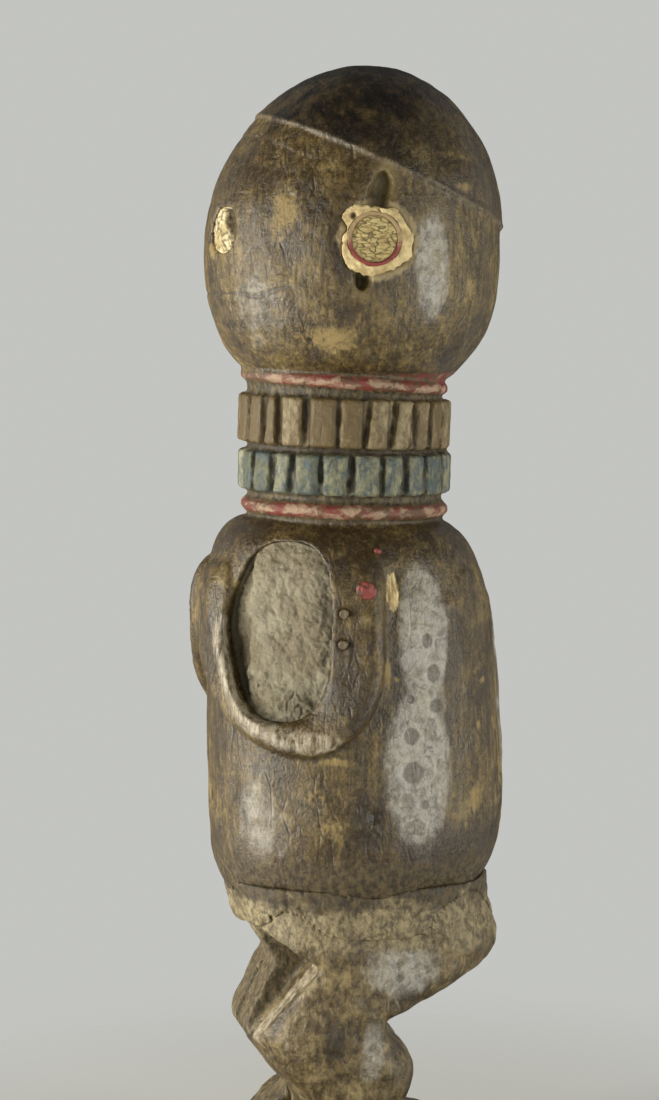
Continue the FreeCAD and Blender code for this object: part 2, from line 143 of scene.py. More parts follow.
def add_floor():
    """A round pale table top that fades into the backdrop. Lengths in metres."""
    rings, spokes, reach = 24, 72, 0.62
    verts, faces = [(0.0, 0.0, 0.0)], []
    for i in range(1, rings + 1):
        for k in range(spokes):
            a = 2 * math.pi * k / spokes
            verts.append((reach * i / rings * math.cos(a), reach * i / rings * math.sin(a), 0.0))
    for k in range(spokes):
        faces.append((0, 1 + k, 1 + (k + 1) % spokes))
    for i in range(rings - 1):
        for k in range(spokes):
            a, b = 1 + i * spokes + k, 1 + i * spokes + (k + 1) % spokes
            faces.append((a, a + spokes, b + spokes, b))
    mesh = bpy.data.meshes.new("floor")
    mesh.from_pydata(verts, [], faces)
    floor = add_object("floor", mesh)
    shade = Shader("pale_floor")
    fade = shade.rise(shade.length(shade.coordinates), 0.06, 0.24)
    pale = shade.tree.nodes.new("ShaderNodeBsdfDiffuse")
    pale.inputs["Color"].default_value = (0.84, 0.845, 0.82, 1)
    clear = shade.tree.nodes.new("ShaderNodeBsdfTransparent")
    blend = shade.tree.nodes.new("ShaderNodeMixShader")
    shade.link(fade, blend.inputs[0])
    shade.link(pale.outputs[0], blend.inputs[1])
    shade.link(clear.outputs[0], blend.inputs[2])
    shade.link(blend.outputs[0], shade.output.inputs["Surface"])
    mesh.materials.append(shade.material)


# ---------------------------------------------------------------- shader building


class Shader:
    """A material with one Principled surface, and short ways to add the nodes that drive it."""

    def __init__(self, name):
        self.material = bpy.data.materials.new(name)
        self.material.use_nodes = True
        self.tree = self.material.node_tree
        self.tree.nodes.clear()
        self.output = self.tree.nodes.new("ShaderNodeOutputMaterial")
        self.surface = self.tree.nodes.new("ShaderNodeBsdfPrincipled")
        self.link(self.surface.outputs[0], self.output.inputs["Surface"])
        self.coordinates = self.tree.nodes.new("ShaderNodeTexCoord").outputs["Object"]

    def link(self, a, b):
        self.tree.links.new(a, b)

    def feed(self, socket, value):
        """Links a socket, or sets it where the value is a plain number or colour."""
        if isinstance(value, bpy.types.NodeSocket):
            self.link(value, socket)
        elif isinstance(value, tuple) and len(value) == 3 and socket.type == "RGBA":
            socket.default_value = (*value, 1.0)
        else:
            socket.default_value = value

    def attribute(self, name):
        node = self.tree.nodes.new("ShaderNodeAttribute")
        node.attribute_name = name
        return node.outputs["Fac"]

    def length(self, vector):
        node = self.tree.nodes.new("ShaderNodeVectorMath")
        node.operation = "LENGTH"
        self.feed(node.inputs[0], vector)
        return node.outputs["Value"]

    def math(self, operation, a, b=0.0, c=0.0, clamp=False):
        node = self.tree.nodes.new("ShaderNodeMath")
        node.operation = operation
        node.use_clamp = clamp
        for socket, value in zip(node.inputs, (a, b, c)):
            self.feed(socket, value)
        return node.outputs[0]

    def times(self, a, b):
        return self.math("MULTIPLY", a, b)

    def times_plus(self, a, b, c):
        """a * b + c"""
        return self.math("MULTIPLY_ADD", a, b, c)

    def most(self, first, *others):
        """The greatest of several values."""
        return self.math("MAXIMUM", first, self.most(*others)) if others else first

    def stretched(self, stretch):
        node = self.tree.nodes.new("ShaderNodeMapping")
        node.inputs["Scale"].default_value = stretch
        self.link(self.coordinates, node.inputs["Vector"])
        return node.outputs[0]

    def noise(self, size, detail, roughness, stretch=None, distortion=0.0, offset=0.0):
        """Noise whose blobs are about size millimetres across."""
        node = self.tree.nodes.new("ShaderNodeTexNoise")
        node.noise_dimensions = "4D"
        node.inputs["W"].default_value = offset
        node.inputs["Scale"].default_value = 1000.0 / size
        node.inputs["Detail"].default_value = detail
        node.inputs["Roughness"].default_value = roughness
        node.inputs["Distortion"].default_value = distortion
        self.link(self.stretched(stretch) if stretch else self.coordinates, node.inputs["Vector"])
        return node.outputs["Fac"]

    def cell_borders(self, size, stretch):
        """Distance to the nearest border between cells about size millimetres across."""
        node = self.tree.nodes.new("ShaderNodeTexVoronoi")
        node.feature = "DISTANCE_TO_EDGE"
        node.inputs["Scale"].default_value = 1000.0 / size
        self.link(self.stretched(stretch), node.inputs["Vector"])
        return node.outputs["Distance"]

    def rise(self, value, low, high):
        """0 below low, 1 above high and smooth between."""
        return self.ramp(value, [(low, 0.0), (high, 1.0)])

    def ramp(self, value, stops):
        """A map from a value by (position, number or colour) stops; smooth if there are just two numbers."""
        if len(stops) == 2 and not isinstance(stops[0][1], tuple):
            node = self.tree.nodes.new("ShaderNodeMapRange")
            node.interpolation_type = "SMOOTHSTEP"
            (low, low_number), (high, high_number) = stops
            names = ("From Min", "From Max", "To Min", "To Max")
            for name, number in zip(names, (low, high, low_number, high_number)):
                node.inputs[name].default_value = number
            self.feed(node.inputs["Value"], value)
            return node.outputs["Result"]
        node = self.tree.nodes.new("ShaderNodeValToRGB")
        elements = node.color_ramp.elements
        while len(elements) < len(stops):
            elements.new(0.5)
        for element, (place, number) in zip(elements, stops):
            element.position = place
            element.color = (number, number, number, 1) if isinstance(number, (int, float)) else (*number, 1)
        self.feed(node.inputs[0], value)
        return node.outputs[0]

    def mix(self, factor, a, b, mode="MIX"):
        node = self.tree.nodes.new("ShaderNodeMix")
        node.data_type = "RGBA"
        node.blend_type = mode
        node.clamp_factor = True
        self.feed(node.inputs[0], factor)
        self.feed(node.inputs[6], a)
        self.feed(node.inputs[7], b)
        return node.outputs[2]

    def bump(self, height, distance, strength, below=None):
        """A bump of the given height in millimetres, on top of another bump."""
        node = self.tree.nodes.new("ShaderNodeBump")
        node.inputs["Distance"].default_value = distance * MM
        node.inputs["Strength"].default_value = strength
        self.feed(node.inputs["Height"], height)
        if below is not None:
            self.link(below, node.inputs["Normal"])
        return node.outputs[0]

    def finish(self, colour, roughness, normal, specular):
        inputs = self.surface.inputs
        self.feed(inputs["Base Color"], colour)
        self.feed(inputs["Roughness"], roughness)
        inputs["Specular IOR Level"].default_value = specular
        self.link(normal, inputs["Normal"])
        return self.material


# ---------------------------------------------------------------- mesh working

NOISE_SHIFT = np.array([17.3, 5.1, 9.7])  # keeps the noise of one seed away from that of the next
CELL_SHIFT = 31.7
WARP_SCALE = 0.9  # how fine the waves in cell borders are, against the cells

def read_points(mesh):
    flat = np.empty(len(mesh.vertices) * 3, np.float64)
    mesh.vertices.foreach_get("co", flat)
    return flat.reshape(-1, 3) / MM


def write_points(mesh, points):
    mesh.vertices.foreach_set("co", (points * MM).astype(np.float32).ravel())
    mesh.update()


def read_normals(mesh):
    flat = np.empty(len(mesh.vertices) * 3, np.float64)
    mesh.vertices.foreach_get("normal", flat)
    return flat.reshape(-1, 3)


def read_edges(mesh):
    flat = np.empty(len(mesh.edges) * 2, np.int64)
    mesh.edges.foreach_get("vertices", flat)
    return flat.reshape(-1, 2)


def fine_copy(name, node, voxel):
    """A new object with an evenly spaced mesh of a CAD node's shape."""
    piece = add_object(name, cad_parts[node].data.copy())
    piece.data.materials.clear()
    remesh = piece.modifiers.new("remesh", "REMESH")
    remesh.mode = "VOXEL"
    remesh.voxel_size = voxel * 1.0 * MM
    graph = bpy.context.evaluated_depsgraph_get()
    even = bpy.data.meshes.new_from_object(piece.evaluated_get(graph))
    piece.modifiers.clear()
    piece.data = even
    even.shade_smooth()
    return piece


class Surface:
    """A mesh's points and edges in numpy, with the moves that age it."""

    def __init__(self, piece):
        self.mesh = piece.data
        self.points = read_points(self.mesh)
        self.normals = read_normals(self.mesh)
        self.edges = read_edges(self.mesh)
        self.degree = np.bincount(self.edges.ravel(), minlength=len(self.points)).clip(1)

    def neighbours(self, values):
        """The mean of each point's neighbours."""
        a, b = self.edges.T
        if values.ndim == 1:
            total = np.bincount(a, values[b], len(values)) + np.bincount(b, values[a], len(values))
            return total / self.degree
        return np.stack([self.neighbours(column) for column in values.T], axis=1)

    def relax(self, times, share):
        """Wears edges round. The share may differ from point to point."""
        share = share[:, None] if isinstance(share, np.ndarray) else share
        for _ in range(times):
            self.points += (self.neighbours(self.points) - self.points) * share
        self.refresh()

    def refresh(self):
        write_points(self.mesh, self.points)
        self.normals = read_normals(self.mesh)

    def push(self, heights):
        """Moves each point along its normal, in millimetres."""
        self.points += self.normals * heights[:, None]
        self.refresh()

    def clouds(self, size, octaves, seed, stretch=(1, 1, 1)):
        """Noise from about -1 to 1, with blobs of about size millimetres."""
        places = self.points * (np.array(stretch) / size) + NOISE_SHIFT * (seed + 1)
        return np.array([noise.fractal(p, 1.0, 2.0, octaves) for p in places.tolist()])

    def cell_edges(self, size, seed, stretch, warp):
        """Distance to the nearest border between cells, as a share of their size. Warp makes it wavy."""
        places = self.points * (np.array(stretch) / size) + CELL_SHIFT * (seed + 1)
        waves = [noise.noise_vector(p * WARP_SCALE) for p in map(Vector, places.tolist())]
        places = places + warp * np.array(waves)
        found = np.empty(len(places))
        for i, p in enumerate(places.tolist()):
            near = noise.voronoi(p)[0]
            found[i] = near[1] - near[0]
        return found

    def curvature(self, spread):
        """How far each point stands out of (+) or lies below (-) its surroundings, in millimetres."""
        smooth = self.points.copy()
        for _ in range(spread):
            smooth += (self.neighbours(smooth) - smooth) * 0.6
        return np.einsum("ij,ij->i", self.points - smooth, self.normals)

    def store(self, name, values):
        layer = self.mesh.attributes.new(name, "FLOAT", "POINT")
        layer.data.foreach_set("value", np.asarray(values, np.float32))

    def angle(self):
        """Degrees from straight ahead towards the doll's left, -180 to 180."""
        return np.degrees(np.arctan2(self.points[:, 0], -self.points[:, 1]))


def step(values, low, high):
    """0 below low, 1 above high and smooth between."""
    t = np.clip((values - low) / (high - low), 0, 1)
    return t * t * (3 - 2 * t)


def bell(values, middle, width):
    return np.exp(-(((values - middle) / width) ** 2))


def turn_between(angles, middle):
    """Signed difference of angles in degrees."""
    return (angles - middle + 180) % 360 - 180


def patches(surface, rows, sharpness, radius=36.0):
    """The strongest of several oval patches at each point.

    A row is (angle, z, half width, half height, strength).
    """
    angles, z = surface.angle(), surface.points[:, 2]
    found = np.zeros(len(z))
    for angle, height, half_width, half_height, strength in rows:
        across = np.radians(turn_between(angles, angle)) * radius / half_width
        up = (z - height) / half_height
        found = np.maximum(found, strength * np.exp(-((across**2 + up**2) ** (sharpness / 2))))
    return found


def blobs(surface, rows):
    """The strongest of several rounded patches in space, on both sides of the figure.

    A row is (x, y, z, reach in x, reach in y, reach in z, strength).
    """
    x, y, z = np.abs(surface.points[:, 0]), surface.points[:, 1], surface.points[:, 2]
    found = np.zeros(len(z))
    for px, py, pz, rx, ry, rz, strength in rows:
        away = ((x - px) / rx) ** 2 + ((y - py) / ry) ** 2 + ((z - pz) / rz) ** 2
        found = np.maximum(found, strength * np.exp(-(away**2.0)))
    return found


def along_line(surface, corners, width):
    """1 on a line of corners on either side of the figure, falling to 0 beyond its width."""
    places = surface.points * np.where(surface.points[:, :1] < 0, np.array([-1, 1, 1]), 1)
    away = np.full(len(places), np.inf)
    for start, end in zip(corners, corners[1:]):
        a, run = np.array(start), np.array(end) - np.array(start)
        t = np.clip((places - a) @ run / (run @ run), 0, 1)
        away = np.minimum(away, np.linalg.norm(places - a - t[:, None] * run, axis=1))
    return np.exp(-((away / width) ** 2))


# ---------------------------------------------------------------- the carved wood

# Rows for patches(): the patina's bare places, a fresh chip, painted sheen (pale colour for the polish's
# highlight), blisters and dark smears.
BARE_PATCHES = [
    (52, 248, 6.1, 8.3, 1.0), (11, 239, 3.5, 3.2, 1.0), (129, 254, 4.1, 2.0, 0.8),
    (134, 230, 2.1, 3.9, 0.9), (110, 226, 2.5, 2.5, 0.7), (119, 223, 3.2, 1.7, 0.7),
    (145, 241, 5.8, 14.7, 0.5), (68, 218, 11.3, 5.5, 0.75), (102, 215, 7.9, 3.4, 0.4),
    (94, 138, 1.0, 5.4, 1.2), (98, 136, 1.3, 1.2, 1.1), (141, 134, 1.5, 1.5, 1.1),
    (137, 123, 1.3, 1.5, 1.1), (134, 105, 4.6, 6.4, 0.8), (156, 110, 5.9, 12.2, 0.7),
    (69, 107, 9.5, 5.9, 0.6), (71, 116, 8.4, 1.8, 0.9), (72, 100, 8.0, 5.0, 0.70),
    (121, 263, 5.8, 3.9, 0.45), (122, 171, 7.3, 2.5, 0.5), (26, 167, 7.5, 2.0, 0.5),
    (23, 122, 4.4, 7.3, 0.4), (-48, 246, 5.0, 6.0, 0.8), (-10, 240, 4.0, 3.5, 0.9),
    (-95, 222, 5.0, 4.0, 0.6), (-140, 236, 6.0, 12.0, 0.5), (180, 232, 7.0, 9.0, 0.55),
    (-160, 120, 7.0, 12.0, 0.6), (-105, 104, 6.0, 7.0, 0.7), (-60, 108, 8.0, 6.0, 0.6),
    (0, 104, 9.0, 8.0, 0.6), (175, 150, 8.0, 10.0, 0.5), (-118, 146, 3.0, 8.0, 0.6),
    (-70, 116, 8.0, 2.0, 0.9), (-100, 86, 24.0, 2.0, 0.45), (150, 70, 12.0, 5.0, 0.8),
    (-150, 70, 12.0, 5.0, 0.8),
]  # fmt: skip
CHIP = (97, 157, 2.2, 5.2, 1.0)  # fresh split wood behind the left arm
PAINTED_SHEEN_PATCHES = [
    (110, 146, 7.6, 18.5, 1.15), (107, 114, 9.6, 20.0, 1.15), (113, 235, 5.6, 15.0, 0.9),
    (37, 226, 9.4, 9.0, 0.55), (37, 217, 7.4, 3.4, 0.45), (43, 100, 9.0, 12.0, 0.6),
    (-109, 140, 6.0, 22.0, 0.9), (-113, 236, 6.0, 13.0, 0.8), (-40, 224, 9.0, 8.0, 0.6),
    (-40, 98, 9.0, 9.0, 0.7), (165, 130, 7.0, 26.0, 0.6),
]  # fmt: skip
SPOT_PATCHES = [
    (111, 145, 1.5, 2.0, 1.0), (114, 137, 2.1, 2.4, 1.0), (115, 129, 2.1, 1.9, 0.8),
    (104, 122, 2.1, 2.3, 1.0), (105, 113, 3.2, 2.9, 0.9), (104, 131, 1.3, 1.2, 0.8),
    (110, 105, 1.6, 1.5, 0.7), (82, 242, 1.8, 1.8, 0.4), (-108, 150, 1.8, 2.0, 0.9),
    (-112, 136, 2.2, 2.4, 0.9), (-104, 124, 2.6, 2.4, 0.8), (-110, 114, 2.2, 2.0, 0.8),
    (168, 140, 2.4, 2.2, 0.6), (162, 124, 2.0, 2.4, 0.6),
]  # fmt: skip
DARK_PATCHES = [
    (77, 222, 4.9, 4.4, 1.0), (56, 263, 8.1, 2.5, 0.7), (69, 169, 12.5, 3.4, 0.8),
    (138, 144, 6.4, 14.7, 0.6), (79, 136, 5.0, 13.0, 0.8), (71, 96, 7.4, 2.5, 0.6),
    (84, 107, 4.9, 5.4, 0.5), (-80, 222, 6.0, 5.0, 0.8), (-60, 168, 12.0, 3.4, 0.7),
    (-140, 150, 8.0, 12.0, 0.6), (-85, 105, 6.0, 6.0, 0.5), (10, 168, 10.0, 4.0, 0.6),
    (180, 205, 12.0, 6.0, 0.6),
]  # fmt: skip
# Rows for blobs(): painted sheen and blisters on the thighs, and the scoops above and below each ear.
LEG_PAINTED_SHEEN = [(30, 7, 63.5, 10, 11.0, 8.0, 0.95), (28.5, 0, 42, 8, 3.6, 9, 0.8)]
LEG_SPOTS = [
    (30, 9.7, 68.4, 4, 1.3, 1.2, 1.0), (29.6, 15.3, 69, 4, 1.6, 1.4, 1.0),
    (29.6, 15.8, 65, 4, 1.6, 1.5, 1.0), (29.7, 6.6, 61.5, 4, 1.5, 1.2, 0.8),
]  # fmt: skip
EAR_SCOOPS = [(31.2, 2.2, 254.5, 3.0, 3.2, 6.0, 1.0), (32, -3.9, 229.8, 3.0, 2.2, 3.4, 1.0)]
# Corners (x, y, z) for along_line(): polished edges painted pale as a highlight.
GROIN_LIP = [(23, -22.8, 71.5), (22.5, -13.7, 63.6), (17.5, -26.5, 47.4)]
ARM_BEVEL = [
    (16.8, -35.3, 147.7), (18.1, -35.5, 142), (20.3, -34.8, 136.2), (22.9, -32.8, 130.5),
    (26.6, -29.0, 125.5), (31.6, -23.0, 122.0), (37.0, -12.0, 120.5),
]  # fmt: skip
# Dents as (angle, z, size, depth).
DENTS = [
    (89.0, 102.5, 1.7, 0.7), (84.5, 104.5, 1.0, 0.5), (91.5, 100.0, 0.9, 0.4), (150, 96, 2.0, 0.5),
    (-70, 132, 2.0, 0.5), (-130, 232, 1.8, 0.5), (160, 262, 1.6, 0.4),
]  # fmt: skip
MOST_FACETS = 6000  # points that are tried as the middle of a knife stroke
NEAR_FACETS = 9  # strokes that can reach a point
DEEPEST_CUT = 0.5


def facet_heights(surface, where, spacing, seed, tallness):
    """How far to cut each point to get a knife's flat strokes. Small tallness: long up the grain."""
    chance = np.random.default_rng(seed)
    allowed = np.flatnonzero(where > 0.5)
    order = chance.permutation(allowed)[:MOST_FACETS]
    squeeze = np.array([1, 1, tallness])
    kept, kept_rows = [], []
    for i in order:
        place = surface.points[i] * squeeze
        if kept_rows and np.min(np.sum((np.array(kept_rows) - place) ** 2, axis=1)) < spacing**2:
            continue
        kept.append(i)
        kept_rows.append(place)
    tree = kdtree.KDTree(len(kept))
    for k, place in enumerate(kept_rows):
        tree.insert(place, k)
    tree.balance()
    seeds = surface.points[kept]
    normals = surface.normals[kept] + chance.normal(0, 0.035, (len(kept), 3))
    normals /= np.linalg.norm(normals, axis=1)[:, None]
    places = (surface.points * squeeze).tolist()
    near = np.array([[hit[1] for hit in tree.find_n(place, NEAR_FACETS)] for place in places])
    gap = np.einsum("ikj,ikj->ik", seeds[near] - surface.points[:, None, :], normals[near])
    facing = np.einsum("ikj,ij->ik", normals[near], surface.normals)
    gap = gap / np.maximum(facing, 0.3)
    return DEEPEST_CUT * np.tanh(gap.min(axis=1) / DEEPEST_CUT)


def tab_row(angles, z, given, count, row, known, seed):
    """A tone for each tab of a row, known or at random, and how near each point is to a notch.

    The given notches are read from the photograph, and the rest of the count share the remaining turn.
    """
    more = count - len(given)
    pitch = (360 + given[0] - given[-1]) / (more + 1)
    notches = np.array([*given, *(given[-1] + pitch * (i + 1) for i in range(more))]) % 360
    notches.sort()
    tones = np.random.default_rng(seed).uniform(0.1, 0.8, count + 1)
    for angle, tone in known:
        tones[np.searchsorted(notches, angle) % count] = tone
    index = np.searchsorted(notches, angles % 360) % count
    away = np.abs(turn_between(angles[:, None], notches[None, :])).min(axis=1)
    inside = (z > row[0]) & (z < row[1])
    return tones[index] * inside, bell(np.radians(away) * TAB_RADIUS, 0, 0.45) * inside


def collar_level(y, z):
    """Height on the collar, measured square to its tilted rows."""
    return z + np.sin(np.radians(COLLAR_TILT)) * (y - NECK_Y)


def paste_amount(z):
    """How pale the paste round the waist is at each height."""
    return step(z, 60, 70) * (1 - 0.9 * step(z, 75, 85))


def carve_wood():
    piece = fine_copy("doll_carving", "carved_figure", 0.55)
    s = Surface(piece)
    x, y, z = s.points.T  # views, so they follow the surface as it moves
    collar = step(z, 172.5, 174) * (1 - step(z, 208.5, 210))
    off_collar = 1 - collar
    s.relax(2, 0.5 * (1 - 0.6 * collar))
    s.relax(2, 0.5 * off_collar)

    angles = s.angle()
    crown = step(z, HEAD_FROM, HEAD_FULL)
    head = crown * np.clip(step(np.hypot(y, z - EAR_Z), 13, 20) + (np.abs(x) < 20), 0, 1)
    clear_of_arms = np.clip(step(np.abs(angles), 96, 102) + 1 - step(z, 108, 114), 0, 1)
    torso = step(z, 88, 94) * (1 - step(z, 160, 168)) * clear_of_arms
    legs = 1 - step(z, 66, 74)
    s.store("collar", collar)

    # knife strokes
    edge, wide_edge = s.curvature(10), s.curvature(40)
    strokes = facet_heights(s, np.maximum(head, torso), 10.0, 4, 0.4) - 0.14
    broad = facet_heights(s, legs * (z > 20), 6.0, 9, 0.8) - 0.1
    cuts = strokes * np.clip(head + torso, 0, 1) * 0.6 + broad * legs * 0.6
    for _ in range(6):
        cuts = 0.4 * cuts + 0.6 * s.neighbours(cuts)
    s.push(cuts)

    # the hand's unevenness, coarser on legs and base
    heights = s.clouds(26, 2, 1) * 0.35 * off_collar
    fine = s.clouds(1.7, 2, 3, (1, 1, 0.45))
    heights += s.clouds(7, 3, 2) * (0.13 + 0.16 * legs) * (1 - 0.7 * collar)
    heights += fine * (0.06 + 0.03 * legs)

    # hairline: a soft raised lip, and a second band under it across the forehead
    rise = z - (CAP_Z - CAP_SLOPE * y)
    wave = s.clouds(9, 2, 5)
    heights += bell(rise, 0.3, 0.6) * 0.26 * crown
    brow = (1 - step(rise + wave * 1.4, -0.4, 0.2)) * step(rise + wave * 1.4, -6.6, -5.9)
    heights += brow * 0.2 * crown * (1 - step(np.abs(angles), 45, 80))

    # mouth: a long crease under soft lips, with full cheeks
    turn = np.abs(angles)
    line = MOUTH_Z - 0.5 + 1.6 * step(turn, 38, 54) - 0.8 * bell(turn, 38, 6) + wave * 0.3
    reach = (1 - step(turn, 52, 57)) * (0.45 + 0.55 * step(turn, 24, 34))
    heights -= bell(z, line, 0.45) * 0.42 * reach * crown
    lower_lip = bell(z, line - 1.6, 1.2) * 0.18 * reach * crown
    upper_lip = bell(z, line + 1.8, 1.4) * 0.14 * reach * crown
    heights += lower_lip + upper_lip
    heights -= bell(z, MOUTH_Z + 4, 2.2) * 0.15 * reach * crown

    # blisters, each with a low rim, and dents, each with a lip
    spots = np.maximum(patches(s, SPOT_PATCHES, 4.0), blobs(s, LEG_SPOTS))
    heights -= spots * 0.3
    rim = patches(s, [(a, h, w * 1.35, t * 1.35, k) for a, h, w, t, k in SPOT_PATCHES], 4.0)
    heights += (rim - spots).clip(0) * 0.2
    for angle, height, size, depth in DENTS:
        dent = patches(s, [(angle, height, size, size, 1.0)], 3.0)
        lip = patches(s, [(angle, height, size * 1.7, size * 1.7, 1.0)], 4.0)
        heights += -dent * depth + (lip - dent).clip(0) * depth * 0.3
    chip = patches(s, [CHIP], 5.0)
    heights -= chip * (0.5 + 0.25 * s.clouds(2.0, 2, 8, (1, 1, 0.15)))

    # pits all over except on the collar, denser on the legs
    pits = s.clouds(2.6, 2, 11)
    heights -= step(pits, 0.52, 0.8) * (0.12 + 0.15 * legs) * off_collar
    heights -= step(s.clouds(5.5, 2, 12, (1, 1, 0.6)), 0.5, 0.8) * 0.22 * (legs + 0.35) * off_collar

    # the collar's knife notches and cut marks
    neck_angles = np.degrees(np.arctan2(x, -(y - NECK_Y)))
    level = collar_level(y, z)
    upper_tones, upper_notches = tab_row(
        neck_angles, level, UPPER_TABS, UPPER_COUNT, UPPER_ROW, UPPER_TONES, 3
    )
    lower_tones, lower_notches = tab_row(
        neck_angles, level, LOWER_TABS, LOWER_COUNT, LOWER_ROW, LOWER_TONES, 5
    )
    notches = (upper_notches + lower_notches) * collar
    heights -= notches * 0.3
    heights += collar * (s.clouds(3.0, 3, 13) * 0.10 + s.clouds(1.2, 2, 14, (1, 1, 0.3)) * 0.06)
    s.push(heights)
    s.points[:, 2] = s.points[:, 2].clip(0)  # the base stays flat underneath
    s.refresh()

    # masks for the material
    angles = s.angle()
    rise = z - (CAP_Z - CAP_SLOPE * y)
    cap_rear = step(np.abs(angles), 100, 130) * (1 - step(z, 268, 280))
    s.store("cap", step(rise, -0.5, 0.5) * crown * (1 - 0.8 * cap_rear))
    s.store("hairline", bell(rise, -0.1, 0.75) * crown)
    low_body = 0.12 * step(z, 90, 95) * (1 - step(z, 104, 116)) + 0.18 * crown * (1 - step(z, 216, 232))
    s.store("bare", patches(s, BARE_PATCHES, 1.6) + low_body)
    # painted sheen: pale patches where the polished wood shows the lamps' highlight
    s.store("painted_sheen", np.maximum(patches(s, PAINTED_SHEEN_PATCHES, 5.0), blobs(s, LEG_PAINTED_SHEEN)))
    s.store("spot_rims", (rim - spots).clip(0))
    s.store("spots", spots)
    zones = 0.75 * step(z, 156, 168) * (1 - step(z, 173, 175)) + 0.4 * crown * step(z, 246, 258)
    zones = zones + 0.6 * step(z, 79, 83) * (1 - step(z, 94, 101))
    s.store("dark", np.maximum(patches(s, DARK_PATCHES, 2.0), zones))
    s.store("chip", chip)
    s.store("edge", edge)
    s.store("wide_edge", wide_edge)
    s.store("relief", s.curvature(8) - edge)
    s.store("legs", 1 - step(z, 60, 76))
    # painted shade along the mouth crease
    s.store("mouth", bell(z, line, 0.5) * reach * crown)
    # painted shade: the inside of the cut between the thighs, also unpolished wood
    inner = (1 - step(np.abs(x), 12.8, 13.8)) * (1 - step(y, -15, -13))
    s.store("groin", inner * step(z, 45, 48) * (1 - step(z, 73, 76)))
    # painted highlight along the lip of the cut between the thighs and along the arm's bevel
    groin_lip = along_line(s, GROIN_LIP, 3.4) * 1.2 * ((x > 0) | (s.normals[:, 0] < -0.3))
    s.store("lip", np.maximum(groin_lip, along_line(s, ARM_BEVEL, 3.4) * 0.8))
    s.store("smear", (1 - step(np.sqrt(y**2 + (z - EAR_Z) ** 2), 7.0, 12.5)) * (np.abs(x) > 20) * crown)
    s.store("paste", paste_amount(z))
    s.store("pasted", step(z, 63, 72) * (1 - step(z, 85, 98)))
    s.store("scoop", blobs(s, EAR_SCOOPS) * (np.abs(x) < 33.9))

    # paint on the collar; only the faces of tabs and ridges stand out far enough to carry it
    out = np.hypot(x, y - NECK_Y)
    level = collar_level(y, z)
    tabs = step(out, 24.6, 25.3) * collar
    # painted shade: the notches and the sunken wood round the tabs are darkened
    sunken = (1 - step(out, 24.2, 24.9)) * step(level, 179.6, 180.4) * (1 - step(level, 202.4, 203.2))
    s.store("notches", np.maximum(sunken * collar, notches))
    s.store("tan_tabs", tabs * step(level, 190.4, 191.2) * (1 - step(level, 203.2, 203.8)))
    s.store("blue_tabs", tabs * step(level, 179.0, 179.6) * (1 - step(level, 189.3, 190.0)))
    ridges = step(out, 24.3, 25.2)
    top_ridge = step(z + TOP_RIDGE_SLOPE * (y - NECK_Y), 203.9, 204.7) * ridges
    low_ridge = (1 - step(z + LOW_RIDGE_SLOPE * (y - NECK_Y), 178.2, 178.9)) * ridges
    s.store("red_ridges", np.clip(top_ridge + low_ridge, 0, 1) * collar)
    s.store("tone", upper_tones + lower_tones)

    piece.data.materials.append(wood_material())
    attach(piece, "root")
    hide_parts("carved_figure")


def paste_colour(m):
    """Dirty paste: the same pattern on the crust and on the wood round it, so that no seam shows."""
    sand = m.noise(1.3, 5, 0.72, (1, 1, 0.65), 0.3, 13.0)
    cloud = m.noise(7, 5, 0.65, (1, 1, 1.2), 0.6, 63.0)
    dirt = m.mix(m.rise(sand, 0.36, 0.64), (0.018, 0.012, 0.005), (0.090, 0.064, 0.028))
    pale = m.mix(m.rise(sand, 0.36, 0.64), (0.080, 0.060, 0.028), (0.275, 0.225, 0.125))
    amount = m.rise(m.times_plus(m.attribute("paste"), 0.35, cloud), 0.64, 0.88)
    return m.mix(amount, dirt, pale), sand


